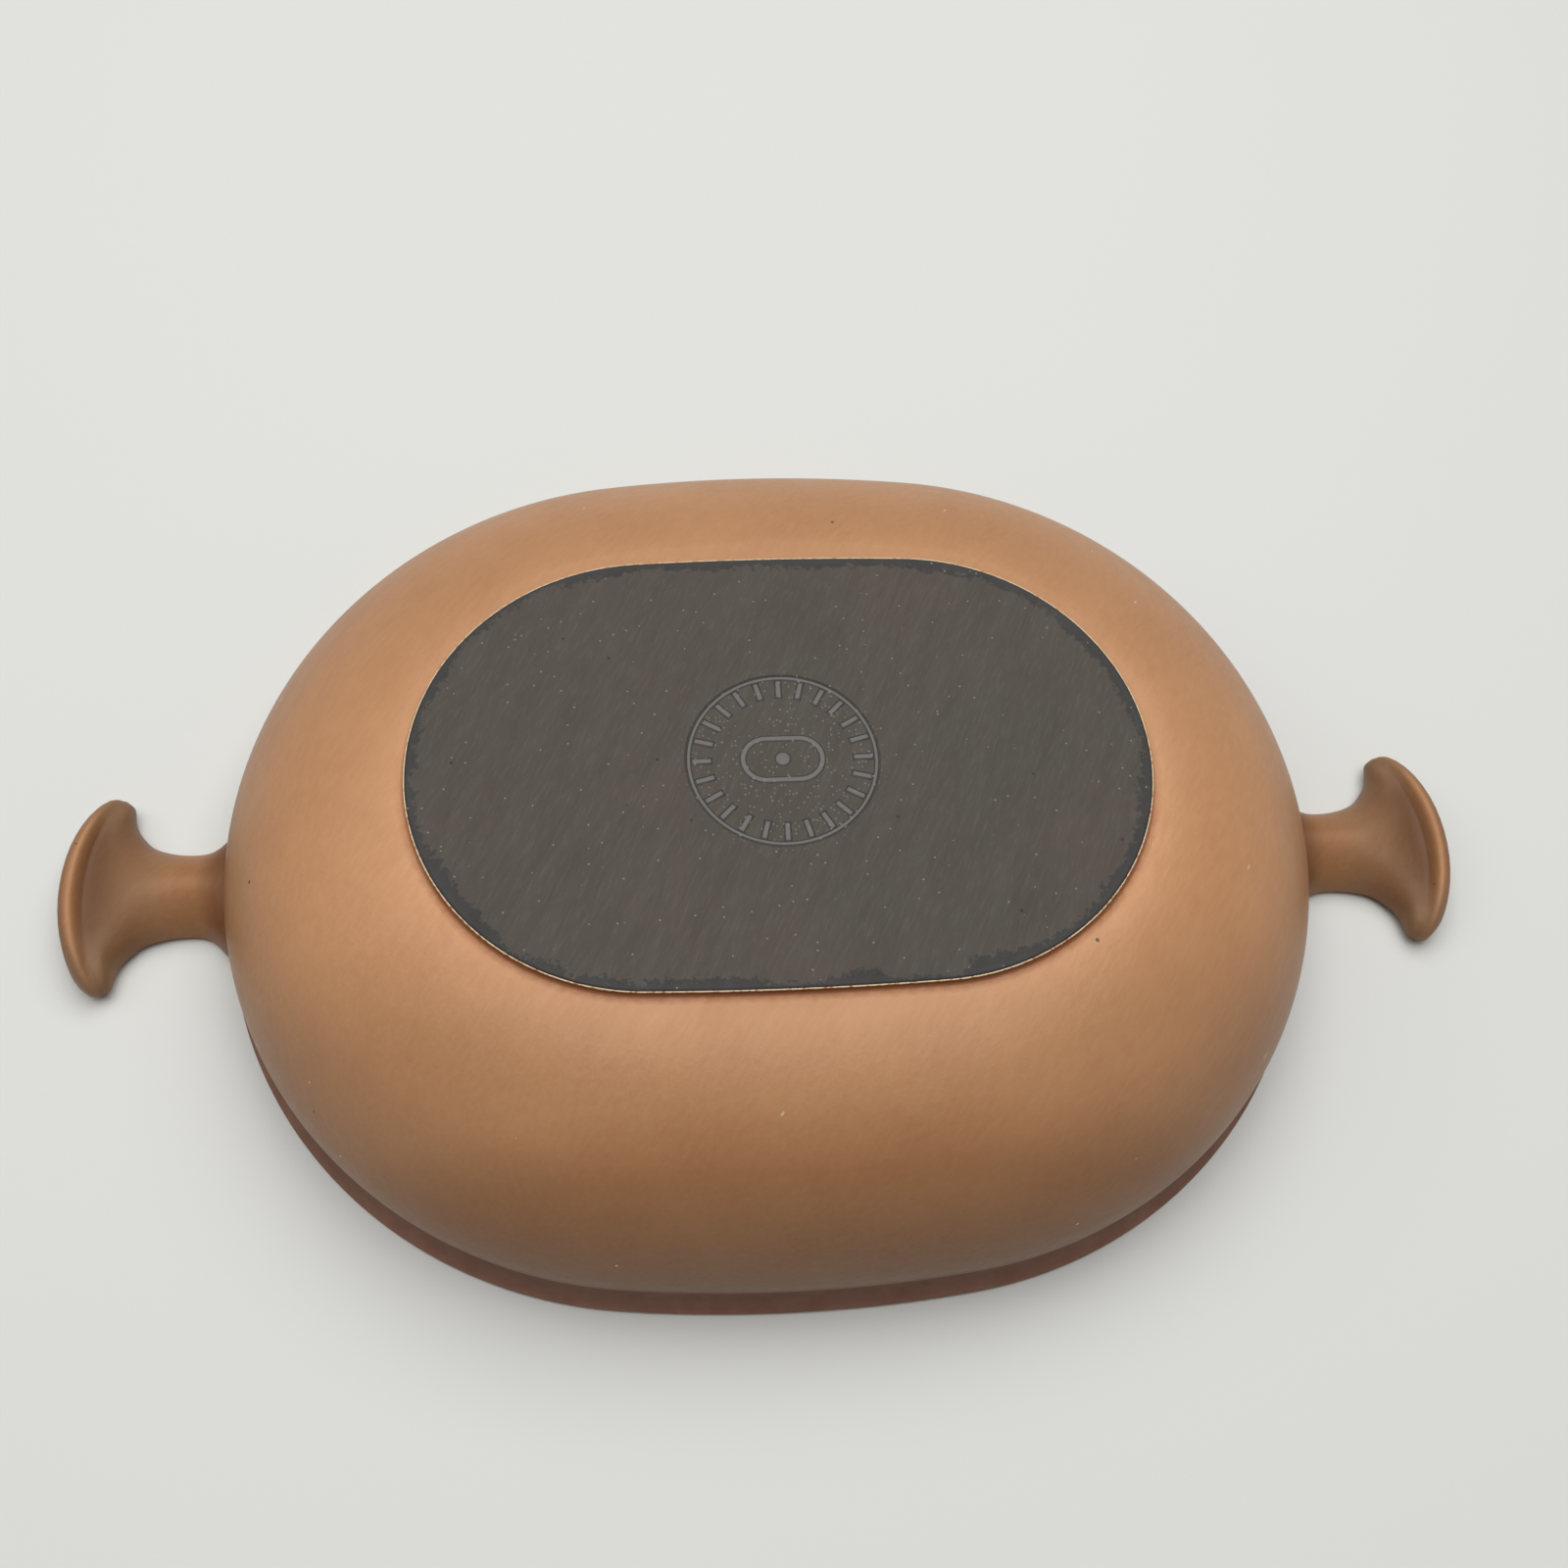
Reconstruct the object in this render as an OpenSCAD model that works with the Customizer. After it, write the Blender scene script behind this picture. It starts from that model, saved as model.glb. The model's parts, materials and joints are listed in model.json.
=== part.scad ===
// Oval baking dish in enamelled cast iron, with a wide lug handle at each end.
// The dish stands upside down on its rim: Z = 0 is the rim plane, the foot
// faces +Z, and X runs from handle to handle.

/* [Bowl] */
// Height from the rim plane to the face of the foot
dish_h = 60; // [54:1:72]
// Radius of the two end arcs where the wall is widest
end_arc_r = 100.2; // [94:0.2:115]
// Distance between the centres of the two end arcs
arc_spacing = 52.8; // [46:0.2:70]
// Radius of the two long side arcs where the wall is widest
side_arc_r = 326.2; // [280:0.2:400]
// Height of the widest part of the wall above the rim plane
belly_h = 16.2; // [14:0.1:20]
// Fullness of the dome, where 2 is an ellipse and less is flatter
dome_fullness = 1.73; // [1.65:0.01:2.2]
// Thickness of the iron in wall and floor
iron_t = 3.8; // [3:0.1:4.6]
// Thickness of each fired coat of glass enamel
coat_t = 0.35; // [0.25:0.05:0.5]

/* [Rim] */
// Height of the waist where the glossy enamel ends and the rim flares out
waist_h = 8.3; // [6:0.1:10]
// How far the wall draws in from the belly to the waist
waist_in = 1; // [0.5:0.1:2]
// How far the rim's edge stands out past the belly
rim_out = 2.1; // [1.5:0.1:4]
// Height of the rim's edge
rim_edge_h = 2; // [1.5:0.1:3]
// Rounding of the rim's edges
rim_round = 0.5; // [0.4:0.05:0.7]
// Height of the matt ground coat inside the mouth
mouth_band_h = 3; // [2:0.1:6]

/* [Foot] */
// Radius of the end arcs of the raised foot pad
pad_arc_r = 51.7; // [46:0.1:54]
// Distance between the centres of the pad's end arcs
pad_spacing = 56.6; // [50:0.2:62]
// Radius of the pad's two long side arcs
pad_side_r = 753; // [500:1:1000]
// Height of the pad above the crown of the bowl
pad_h = 1.6; // [1.2:0.1:2.5]
// Size of the enamel cove round the pad
cove = 0.8; // [0.5:0.05:1]
// Flat left between the ends of the pad and the fall of the dome
crown_margin = 0.4; // [0.2:0.1:3]

/* [Casting mark] */
// Radius of the shallow round recess in the foot
mark_r = 20.9; // [17:0.1:26]
// Depth of that recess
mark_depth = 0.25; // [0.15:0.05:0.25]
// Gap from the top of the relief down to the face of the foot
relief_gap = 0.05; // [0.02:0.01:0.1]
// Number of bars in the ring of the mark
bar_count = 24; // [12:1:36]
// Length of each bar
bar_l = 4; // [2:0.1:5]
// Width of each bar
bar_w = 1; // [0.6:0.1:1.4]
// Gap between the bars and the recess's wall
bar_gap = 1.6; // [1:0.1:3]
// Length of the small oval in the middle of the mark
motif_l = 18; // [12:0.2:20]
// Width of the small oval
motif_w = 11; // [8:0.2:12]
// Width of the small oval's line
motif_line = 1; // [0.6:0.1:1.4]
// Diameter of the pip in the small oval
pip_d = 3; // [2:0.1:5]

/* [Handles] */
// Reach of a handle beyond the belly
handle_reach = 39.7; // [34:0.1:46]
// Width of a handle from horn to horn
handle_span = 49.6; // [44:0.2:58]
// Width of the stem at its narrowest
stem_w = 20.2; // [17:0.2:26]
// Radius of the outer edge, seen from above
edge_curve_r = 56.5; // [48:0.5:80]
// Height of the handle's upper side at the root
root_top_h = 12.3; // [11.5:0.1:14]
// Height of the valley behind the raised lip
valley_h = 9.5; // [8.5:0.1:10.5]
// Height of the stem's widest line, low on its D-shaped section
stem_edge_h = 1.3; // [1.2:0.1:3]
// Height of the widest line round the lip
lip_edge_h = 3.5; // [3:0.1:5]
// Height of the stem's flat underside
stem_lift = 0.8; // [0.7:0.1:1]
// Height of the handle's underside below the lip
lip_lift = 1.8; // [1.5:0.1:2.5]
// How far the lip falls from its middle to the horns
horn_drop = 0.5; // [0:0.1:3]
// Width of the iron web that joins root and wall
web_w = 23; // [18:0.5:28]
// Height of that web
web_h = 5.2; // [4:0.1:6]
// Height of the middle of that web
web_mid_h = 6.4; // [5.5:0.1:7.5]

/* [Hidden] */
$fn = 180;

// Overrun of a cutting shape past the face that it cuts
overrun = 1;
// Angle by which a swept arc runs past the quarter that it is cut to
sweep_overrun = 2;
// Number of steps in the dome's curve, in each arc of the rim and in the cove
dome_steps = 18;
rim_steps = 7;
cove_steps = 4;
// Radius of the flat core of crown and floor, as a share of the pad's
core_share = 0.75;

arc_x = arc_spacing/2;
pad_x = pad_spacing/2;
end_x = arc_x + end_arc_r;
total_t = iron_t + 2*coat_t;
crown_z = dish_h - pad_h;
crown_r = pad_x + pad_arc_r + crown_margin - arc_x;
core_r = core_share*pad_arc_r;
mouth_r = end_arc_r - total_t;
rim_r = end_arc_r + rim_out;

// The tuck below the belly and the flare of the rim are arcs that share a tangent
tuck_turn = 2*atan(waist_in/(belly_h - waist_h));
tuck_r = (belly_h - waist_h)/sin(tuck_turn);
flare_run = waist_in + rim_out - rim_round;
flare_drop = waist_h - rim_edge_h;
flare_end = 2*atan(flare_run/flare_drop) + tuck_turn;
flare_r = norm([flare_run, flare_drop])/(2*sin((flare_end + tuck_turn)/2));
flare_centre = [end_arc_r - waist_in + flare_r*cos(tuck_turn), waist_h - flare_r*sin(tuck_turn)];

// Points of the dome from crown to belly, moved into the wall by inset
function dome_points(inset) = [for (i = [dome_steps:-1:0])
    let (a = 90*i/dome_steps, run = end_arc_r - crown_r, rise = crown_z - belly_h)
    let (across = pow(cos(a), 2/dome_fullness), up = pow(sin(a), 2/dome_fullness))
    let (facing = [pow(cos(a), 2 - 2/dome_fullness)/run, pow(sin(a), 2 - 2/dome_fullness)/rise])
    [crown_r + run*across, belly_h + rise*up] - inset*facing/norm(facing)];

// Points from the belly down to the waist
function tuck_points(inset) = [for (i = [1:rim_steps]) let (a = tuck_turn*i/rim_steps)
    [end_arc_r - tuck_r, belly_h] + (tuck_r - inset)*[cos(a), -sin(a)]];

// Points of the rim from the waist out to its edge and in to the mouth
function flare_points(inset) = [for (i = [0:rim_steps])
    let (a = -tuck_turn + (flare_end + tuck_turn)*i/rim_steps)
    flare_centre - (flare_r + inset)*[cos(a), sin(a)]];
function edge_points(inset) = [
    [rim_r - inset, rim_edge_h - rim_round],
    [rim_r - inset, rim_round],
    [rim_r - rim_round, inset],
    [mouth_r + inset + rim_round, inset],
    [mouth_r + inset, rim_round + inset]];

function reversed(points) = [for (i = [len(points) - 1:-1:0]) points[i]];

// A profile swept round an oval of four arcs whose end centres lie at x = +-c;
// shift is how much larger the radius of the side arcs is than that of the ends.
// Both arcs of a quarter start in the plane where they meet and run past the axes.
module sweep_oval(c, shift, profile) {
    lean = asin(c/shift);
    reach = 2*(c + end_arc_r);
    for (x = [0, 1], y = [0, 1]) mirror([x, 0, 0]) mirror([0, y, 0]) intersection() {
        translate([0, 0, -overrun]) cube([reach, reach, dish_h + 2*overrun]);
        translate([c, 0, 0]) rotate([0, 0, 90 - lean]) {
            mirror([0, 1, 0]) rotate_extrude(angle = 90 - lean + sweep_overrun) polygon(profile);
            translate([-shift, 0, 0]) rotate_extrude(angle = lean + sweep_overrun)
                translate([shift, 0]) polygon(profile);
        }
    }
}

// A flat oval of the same kind, whose end arcs have radius r
module oval_2d(c, shift, r) {
    lean = asin(c/shift);
    bow = shift*cos(lean);
    far = (r + shift - bow + overrun)/cos(lean);
    for (side = [0, 180]) rotate(side) {
        translate([c, 0]) circle(r);
        intersection() {
            translate([0, -bow]) circle(shift + r);
            polygon([[-c, 0], [c, 0], [c + far*sin(lean), far*cos(lean)],
                [-c - far*sin(lean), far*cos(lean)]]);
        }
    }
}

module sweep_bowl(profile) sweep_oval(arc_x, side_arc_r - end_arc_r, profile);
module sweep_pad(profile) sweep_oval(pad_x, pad_side_r - pad_arc_r, profile);

// Flat oval plate between two heights, on the bowl's outline or on the pad's
module bowl_plate(r, from, to) translate([0, 0, from]) linear_extrude(to - from)
    oval_2d(arc_x, side_arc_r - end_arc_r, r);
module pad_plate(r, from, to) translate([0, 0, from]) linear_extrude(to - from)
    oval_2d(pad_x, pad_side_r - pad_arc_r, r);

// Iron of root and wall is one: this web passes through the coats at a root
module root_web() translate([end_x - total_t, 0, web_mid_h])
    rotate([90, 0, 90]) linear_extrude(2*total_t) {
        square([web_w - web_h, web_h], center = true);
        for (side = [-1, 1]) translate([side*(web_w - web_h)/2, 0]) circle(web_h/2);
    }
module both_webs() for (side = [0, 180]) rotate([0, 0, side]) root_web();

module bowl_casting() color("dimgray") {
    sweep_bowl(concat([[core_r, crown_z - coat_t]], dome_points(coat_t), tuck_points(coat_t),
        flare_points(coat_t), edge_points(coat_t), [[mouth_r + coat_t, belly_h]],
        reversed(dome_points(total_t - coat_t)), [[core_r, crown_z - total_t + coat_t]]));
    bowl_plate(core_r + overrun, crown_z - total_t + coat_t, crown_z - coat_t);
}

module foot_pad() color("gray") pad_plate(pad_arc_r - coat_t, crown_z - coat_t, dish_h - coat_t);

// Matt coat on the face of the foot, with the recess of the mark
module foot_ground_coat() color("#5c574e") difference() {
    pad_plate(pad_arc_r - coat_t, dish_h - coat_t, dish_h);
    translate([0, 0, dish_h - mark_depth]) cylinder(r = mark_r, h = mark_depth + overrun);
}

// Plain relief in the recess: a ring of bars round a small oval with a pip
module casting_mark() color("#6a645a") translate([0, 0, dish_h - mark_depth])
    linear_extrude(mark_depth - relief_gap) {
        for (i = [0:bar_count - 1]) rotate(360*i/bar_count)
            translate([mark_r - bar_gap - bar_l, -bar_w/2]) square([bar_l, bar_w]);
        difference() {
            motif(0);
            motif(motif_line);
        }
        circle(d = pip_d);
    }
module motif(inset) {
    spread = (motif_l - motif_w)/2;
    square([2*spread, motif_w - 2*inset], center = true);
    for (side = [-1, 1]) translate([side*spread, 0]) circle(motif_w/2 - inset);
}

// Satin colour coat over the wall, down to the waist and up the side of the pad
module outer_enamel() color("#b98e68") difference() {
    union() {
        sweep_bowl(concat([[core_r, crown_z - coat_t], [core_r, crown_z]], dome_points(0),
            tuck_points(0), reversed(tuck_points(coat_t)), reversed(dome_points(coat_t))));
        sweep_pad(concat([[pad_arc_r - 2*coat_t, crown_z - coat_t/2],
            [pad_arc_r - 2*coat_t, dish_h - coat_t], [pad_arc_r, dish_h - coat_t]],
            [for (i = [0:cove_steps]) let (a = 90*i/cove_steps)
                [pad_arc_r + cove*(1 - cos(a)), crown_z + cove*(1 - sin(a))]],
            [[pad_arc_r + cove, crown_z - coat_t/2]]));
    }
    pad_plate(pad_arc_r - coat_t, crown_z - coat_t - overrun, dish_h + overrun);
    both_webs();
}

// Matt ground coat from the waist round the rim and a little way into the mouth
module rim_ground_coat() color("#4f3a30") difference() {
    sweep_bowl(concat(flare_points(0), edge_points(0), [[mouth_r, mouth_band_h],
        [mouth_r + coat_t, mouth_band_h]], reversed(edge_points(coat_t)),
        reversed(flare_points(coat_t))));
    both_webs();
}

// Coat of the cooking surface
module inner_enamel() color("#4a3a31") {
    sweep_bowl(concat([[mouth_r + coat_t, mouth_band_h], [mouth_r + coat_t, belly_h]],
        reversed(dome_points(total_t - coat_t)), [[core_r, crown_z - total_t + coat_t],
        [core_r, crown_z - total_t]], dome_points(total_t),
        [[mouth_r, mouth_band_h]]));
    bowl_plate(core_r + overrun, crown_z - total_t, crown_z - total_t + coat_t);
}

// Stations of a handle from inside the wall to its outer edge, as shares of the reach,
// of the spread from stem to horns, of the edge's curve, of the upper side's height, of
// the way from stem to lip of the widest line and the underside, and of the horns' drop
along_shares = [-0.1, 0.01, 0.16, 0.34, 0.53, 0.65, 0.74, 0.815, 0.87, 0.9, 0.947, 0.985, 1];
spread_shares = [0.7, 0.46, 0.06, 0, 0.12, 0.36, 0.59, 0.86, 0.96, 0.98, 0.985, 0.81, 0.56];
bend_shares = [0, 0, 0, 0, 0.1, 0.4, 0.8, 0.95, 1, 1, 1, 1, 1];
top_shares = [1.04, 1, 0.9, 0.81, 0.68, 0.53, 0.35, 0.16, 0.05, 0.15, 1.3, 0.8, -0.2];
edge_shares = [0, 0, 0, 0.1, 0.3, 0.5, 0.7, 0.85, 0.95, 1, 1, 1, 1];
under_shares = [0, 0, 0, 0.1, 0.3, 0.5, 0.7, 0.85, 0.95, 1, 1, 1.2, 1.6];
droop_shares = [0, 0, 0, 0, 0, 0.2, 0.4, 0.5, 0.5, 0.5, 1, 0.7, 0.3];
// Squareness of a handle's section at the stem and how much it gains at the horns
stem_squareness = 1.7;
horn_squareness = 1.2;
// Rings of the handle's skin between two stations, and points in each ring
ring_steps = 2;
ring_points = 26;
ring_count = (len(along_shares) - 1)*ring_steps + 1;

// Smooth curve through a list of shares at station s, a whole number or between two
function smooth_share(shares, s) =
    let (last = len(shares) - 1, i = min(floor(s), last - 1), t = s - i)
    let (a = shares[max(i - 1, 0)], b = shares[i], c = shares[i + 1], d = shares[min(i + 2, last)])
    b + t*(c - a)/2 + t*t*(a - 2.5*b + 2*c - d/2) + t*t*t*(1.5*(b - c) + (d - a)/2);

// Point of the handle's skin on ring k, at angle a round its section
function handle_point(k, a) =
    let (s = max(0, min(k, ring_count - 1))/ring_steps, spread = smooth_share(spread_shares, s))
    let (half_w = (stem_w + spread*(handle_span - stem_w))/2, v = cos(a), y = half_w*v)
    let (square = stem_squareness + horn_squareness*spread)
    let (lift = sign(sin(a))*pow(max(0, 1 - pow(abs(v), square)), 1/square))
    let (top = valley_h + (root_top_h - valley_h)*smooth_share(top_shares, s)
        - horn_drop*smooth_share(droop_shares, s)*v*v)
    let (edge = stem_edge_h + (lip_edge_h - stem_edge_h)*smooth_share(edge_shares, s))
    let (under = stem_lift + (lip_lift - stem_lift)*smooth_share(under_shares, s))
    [end_x + handle_reach*smooth_share(along_shares, s)
        - smooth_share(bend_shares, s)*y*y/(2*edge_curve_r), y,
        edge + lift*(lift > 0 ? top - edge : edge - under)];

// The same point moved outwards, square to the skin, by grow
function grown_point(k, a, grow) =
    let (step = 360/ring_points)
    let (along = handle_point(k + 1, a) - handle_point(k - 1, a))
    let (round = handle_point(k, a + step) - handle_point(k, a - step))
    let (facing = cross(round, along))
    handle_point(k, a) + grow*facing/norm(facing);

// A handle's form with its root still inside the wall
module handle_form(grow) {
    points = [for (k = [0:ring_count - 1], j = [0:ring_points - 1])
        grown_point(k, 360*j/ring_points, grow)];
    n = ring_points;
    last = (ring_count - 1)*n;
    skin = [for (k = [0:ring_count - 2], j = [0:n - 1]) let (a = k*n + j, b = k*n + (j + 1)%n)
        each [[a, a + n, b], [b, a + n, b + n]]];
    ends = [for (j = [1:n/2 - 1]) each [[j - 1, j, n - j], [j, n - j - 1, n - j],
        [last + j, last + j - 1, last + n - j], [last + n - j - 1, last + j, last + n - j]]];
    polyhedron(points, concat(skin, ends));
}

// Everything inside the outer face of one end of the bowl
module bowl_end(inset) translate([arc_x, 0, 0]) rotate([0, 0, -90]) rotate_extrude(angle = 180)
    polygon(concat([[core_r, crown_z]], dome_points(inset), tuck_points(inset),
        flare_points(inset), edge_points(inset), [[core_r, inset]]));

module handle_right() color("dimgray") {
    difference() {
        handle_form(0);
        bowl_end(0);
    }
    difference() {
        root_web();
        bowl_end(coat_t);
    }
}

module handle_enamel_right() color("#b98e68") difference() {
    handle_form(coat_t);
    handle_form(0);
    bowl_end(0);
}

module handle_left() mirror([1, 0, 0]) handle_right();
module handle_enamel_left() mirror([1, 0, 0]) handle_enamel_right();

bowl_casting();
foot_pad();
handle_left();
handle_right();
outer_enamel();
inner_enamel();
handle_enamel_left();
handle_enamel_right();
rim_ground_coat();
foot_ground_coat();
casting_mark();
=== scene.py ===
import json
import math

import bmesh
import bpy
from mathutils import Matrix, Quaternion, Vector

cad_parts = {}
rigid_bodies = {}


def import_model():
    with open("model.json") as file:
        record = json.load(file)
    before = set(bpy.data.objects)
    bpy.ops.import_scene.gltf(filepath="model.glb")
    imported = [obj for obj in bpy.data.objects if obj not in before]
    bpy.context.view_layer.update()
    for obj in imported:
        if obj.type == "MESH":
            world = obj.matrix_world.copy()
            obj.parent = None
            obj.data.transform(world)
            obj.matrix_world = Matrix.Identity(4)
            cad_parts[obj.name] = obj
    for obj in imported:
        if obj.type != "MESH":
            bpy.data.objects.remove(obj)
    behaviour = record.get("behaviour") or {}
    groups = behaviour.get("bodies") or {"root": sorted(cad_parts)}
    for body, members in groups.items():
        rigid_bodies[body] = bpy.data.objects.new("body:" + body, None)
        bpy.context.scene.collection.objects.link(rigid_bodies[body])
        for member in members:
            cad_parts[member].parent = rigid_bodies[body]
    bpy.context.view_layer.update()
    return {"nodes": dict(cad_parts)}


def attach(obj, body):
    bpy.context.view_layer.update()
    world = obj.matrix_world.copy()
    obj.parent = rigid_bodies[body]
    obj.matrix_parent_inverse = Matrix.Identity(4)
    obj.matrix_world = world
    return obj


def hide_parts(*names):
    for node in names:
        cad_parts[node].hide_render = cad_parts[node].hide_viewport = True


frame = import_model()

# Camera
# Fitted to the photo's outlines. It looks down on the near long side of the dish from
# about 35 centimetres and is turned a few degrees, so the dish lies a little askew.
camera_place = Vector((-0.02471, -0.16673, 0.36388))
camera_aim = Vector((-0.00014, -0.00618, 0.060))
camera_roll = 0.102
sensor_w, lens_l = 36, 37.42
bpy.ops.object.camera_add(location=camera_place)
camera = bpy.context.object
camera.name = "photo_camera"
camera.data.sensor_width = sensor_w
camera.data.lens = lens_l
camera.rotation_mode = "QUATERNION"
camera.rotation_quaternion = ((camera_place - camera_aim).to_track_quat("Z", "Y")
                              @ Quaternion((0, 0, 1), camera_roll))
bpy.context.scene.camera = camera
bpy.context.scene.view_settings.view_transform = "Standard"


# Floor and light
# A plain pale grey board under the dish, which fades into an even backdrop away from
# it. Soft daylight falls from above and slightly behind, with a little from the left,
# and leaves the near wall of the dish in half shade.
board_size, backdrop_from, backdrop_to = 6, 0.4, 1.0
board_colour, backdrop_colour = (0.78, 0.785, 0.755, 1), (0.72, 0.725, 0.70, 1)
room_colour, room_light, room_seen = (1.0, 1.005, 0.975, 1), 0.1, 0.62
lamp_aim = Vector((0, 0, 0.03))
# name, place, width, depth and watts
lamps = (("daylight_above", (0.1, 0.3, 1.4), 1.5, 1.8, 22),
         ("daylight_left", (-0.95, 0.25, 1.1), 0.9, 0.9, 3))


def new_material(name):
    """An empty node material, its node tree and its Principled shader."""
    made = bpy.data.materials.new(name)
    made.use_nodes = True
    return made, made.node_tree, made.node_tree.nodes["Principled BSDF"]


def add_node(tree, kind, **settings):
    """A node with its properties and its unlinked sockets set by name."""
    node = tree.nodes.new(kind)
    for key, value in settings.items():
        if hasattr(node, key):
            setattr(node, key, value)
        else:
            node.inputs[key.replace("_", " ")].default_value = value
    return node


def feed(tree, socket, given):
    """Links another node's result to a socket, or sets a number, vector or colour on it."""
    if isinstance(given, bpy.types.NodeSocket):
        tree.links.new(given, socket)
    else:
        socket.default_value = given


def calculate(tree, operation, *values):
    """The result of a Math node, from sockets or numbers."""
    made = add_node(tree, "ShaderNodeMath", operation=operation)
    for socket, value in zip(made.inputs, values):
        feed(tree, socket, value)
    return made.outputs[0]


def calculate_vector(tree, operation, result, *values):
    """The named result of a Vector Math node, from sockets or vectors."""
    made = add_node(tree, "ShaderNodeVectorMath", operation=operation)
    for socket, value in zip(made.inputs, values):
        feed(tree, socket, value)
    return made.outputs[result]


def remap(tree, value, low, high, to_low=0.0, to_high=1.0):
    """The value moved from one range to another, and held inside it."""
    made = add_node(tree, "ShaderNodeMapRange", From_Min=low, From_Max=high,
                    To_Min=to_low, To_Max=to_high)
    tree.links.new(value, made.inputs["Value"])
    return made.outputs["Result"]


def seen_directly(tree):
    """1 for what the eye, a gloss or clear glass sees, 0 for light on its way."""
    ray = add_node(tree, "ShaderNodeLightPath").outputs
    eye_or_gloss = calculate(tree, "MAXIMUM", ray["Is Camera Ray"], ray["Is Glossy Ray"])
    return calculate(tree, "MAXIMUM", eye_or_gloss, ray["Is Transmission Ray"])


bpy.ops.object.select_all(action="DESELECT")
bpy.ops.mesh.primitive_plane_add(size=board_size)
floor = bpy.context.object
floor.name = "floor_board"
board, tree, shader = new_material("pale_board")
shader.inputs["Base Color"].default_value = board_colour
shader.inputs["Roughness"].default_value = 0.75
shader.inputs["Specular IOR Level"].default_value = 0.2
backdrop = add_node(tree, "ShaderNodeEmission", Color=backdrop_colour)
place = add_node(tree, "ShaderNodeTexCoord").outputs["Object"]
reach = calculate_vector(tree, "LENGTH", "Value", place)
far_share = calculate(tree, "MULTIPLY", remap(tree, reach, backdrop_from, backdrop_to),
                      seen_directly(tree))
surface = add_node(tree, "ShaderNodeMixShader")
for socket, given in zip(surface.inputs, (far_share, shader.outputs[0], backdrop.outputs[0])):
    tree.links.new(given, socket)
tree.links.new(surface.outputs[0], tree.nodes["Material Output"].inputs["Surface"])
floor.data.materials.append(board)

for name, place, wide, deep, power in lamps:
    bpy.ops.object.light_add(type="AREA", location=place)
    lamp = bpy.context.object
    lamp.name = name
    lamp.data.shape = "RECTANGLE"
    lamp.data.size = wide
    lamp.data.size_y = deep
    lamp.data.energy = power
    lamp.rotation_mode = "QUATERNION"
    lamp.rotation_quaternion = (Vector(place) - lamp_aim).to_track_quat("Z", "Y")

room = bpy.data.worlds.new("room")
room.use_nodes = True
tree = room.node_tree
sky = tree.nodes["Background"]
sky.inputs["Color"].default_value = room_colour
tree.links.new(calculate(tree, "MULTIPLY_ADD", seen_directly(tree), room_seen, room_light),
               sky.inputs["Strength"])
bpy.context.scene.world = room


# Bronze enamel on the bowl
# Satin glass enamel fired on the outside of the sand-cast wall, from the waist over
# the dome and up the side of the foot. It is sprayed, so it has a fine grain.

# Sizes are in millimetres. An oval has two end arcs, whose centres lie at x, and two
# side arcs, whose radius is larger than that of the end arcs by the shift.
end_x, end_r, side_shift = 26.4, 100.2, 226.0
pad_x, pad_r, pad_shift = 28.3, 51.7, 701.3
dish_h, crown_h, belly_h, waist_h = 60.0, 58.4, 16.2, 8.3
crown_r, fullness, waist_in, coat_t = 54.0, 1.73, 1.0, 0.35
crown_turn, dome_steps, tuck_steps = 86.5, 54, 8
end_steps, side_steps, seam_slack = 108, 26, 0.004
cove, cove_turns, cove_slack = 0.8, (0, 15, 30, 45, 60, 75, 88), 0.4
# how far the coat's end round the foot lies outside the pad's radius and above the foot
coat_end = ((-0.34, -0.24), (-0.22, -0.17), (-0.08, -0.2), (0, -0.32), (0.01, -0.55))


def quarter_round(centre, across, up, turns):
    """Points of a quarter circle: across from its centre at 0 degrees, up at 90."""
    return [(centre[0] + across*math.cos(math.radians(turn)),
             centre[1] + up*math.sin(math.radians(turn))) for turn in turns]


def dome_outline(inset, start, steps):
    """Points of the dome from its crown down to the belly, inset into the wall."""
    points = []
    run, rise = end_r - crown_r, crown_h - belly_h
    for i in range(steps, -1, -1):
        turn = math.radians(start*i/steps)
        across, up = math.cos(turn)**(2/fullness), math.sin(turn)**(2/fullness)
        facing = Vector((math.cos(turn)**(2 - 2/fullness)/run,
                         math.sin(turn)**(2 - 2/fullness)/rise))
        facing.normalize()
        points.append((crown_r + run*across - inset*facing.x,
                       belly_h + rise*up - inset*facing.y))
    return points


def tuck_outline():
    """Points of the wall that draws in from the belly to the waist."""
    turn = 2*math.atan(waist_in/(belly_h - waist_h))
    radius = (belly_h - waist_h)/math.sin(turn)
    return [(end_r - radius + radius*math.cos(turn*i/tuck_steps),
             belly_h - radius*math.sin(turn*i/tuck_steps)) for i in range(1, tuck_steps + 1)]


def new_piece(name):
    """An empty mesh object in edit mode, at the origin."""
    bpy.ops.object.select_all(action="DESELECT")
    bpy.ops.mesh.primitive_plane_add(size=0.001)
    piece = bpy.context.object
    piece.name = name
    piece.data.name = name
    bpy.ops.object.mode_set(mode="EDIT")
    bpy.ops.mesh.delete(type="VERT")
    return piece


def start_outline(points, x):
    """Draws a chain of edges in the plane y = 0, a point at a time, in edit mode."""
    bpy.ops.mesh.select_all(action="DESELECT")
    bpy.ops.mesh.primitive_plane_add(
        size=0.001, location=((x + points[0][0])/1000, 0, points[0][1]/1000))
    bpy.ops.mesh.merge(type="CENTER")
    for before, after in zip(points, points[1:]):
        step = ((after[0] - before[0])/1000, 0, (after[1] - before[1])/1000)
        bpy.ops.mesh.extrude_region_move(TRANSFORM_OT_translate={"value": step})


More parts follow.
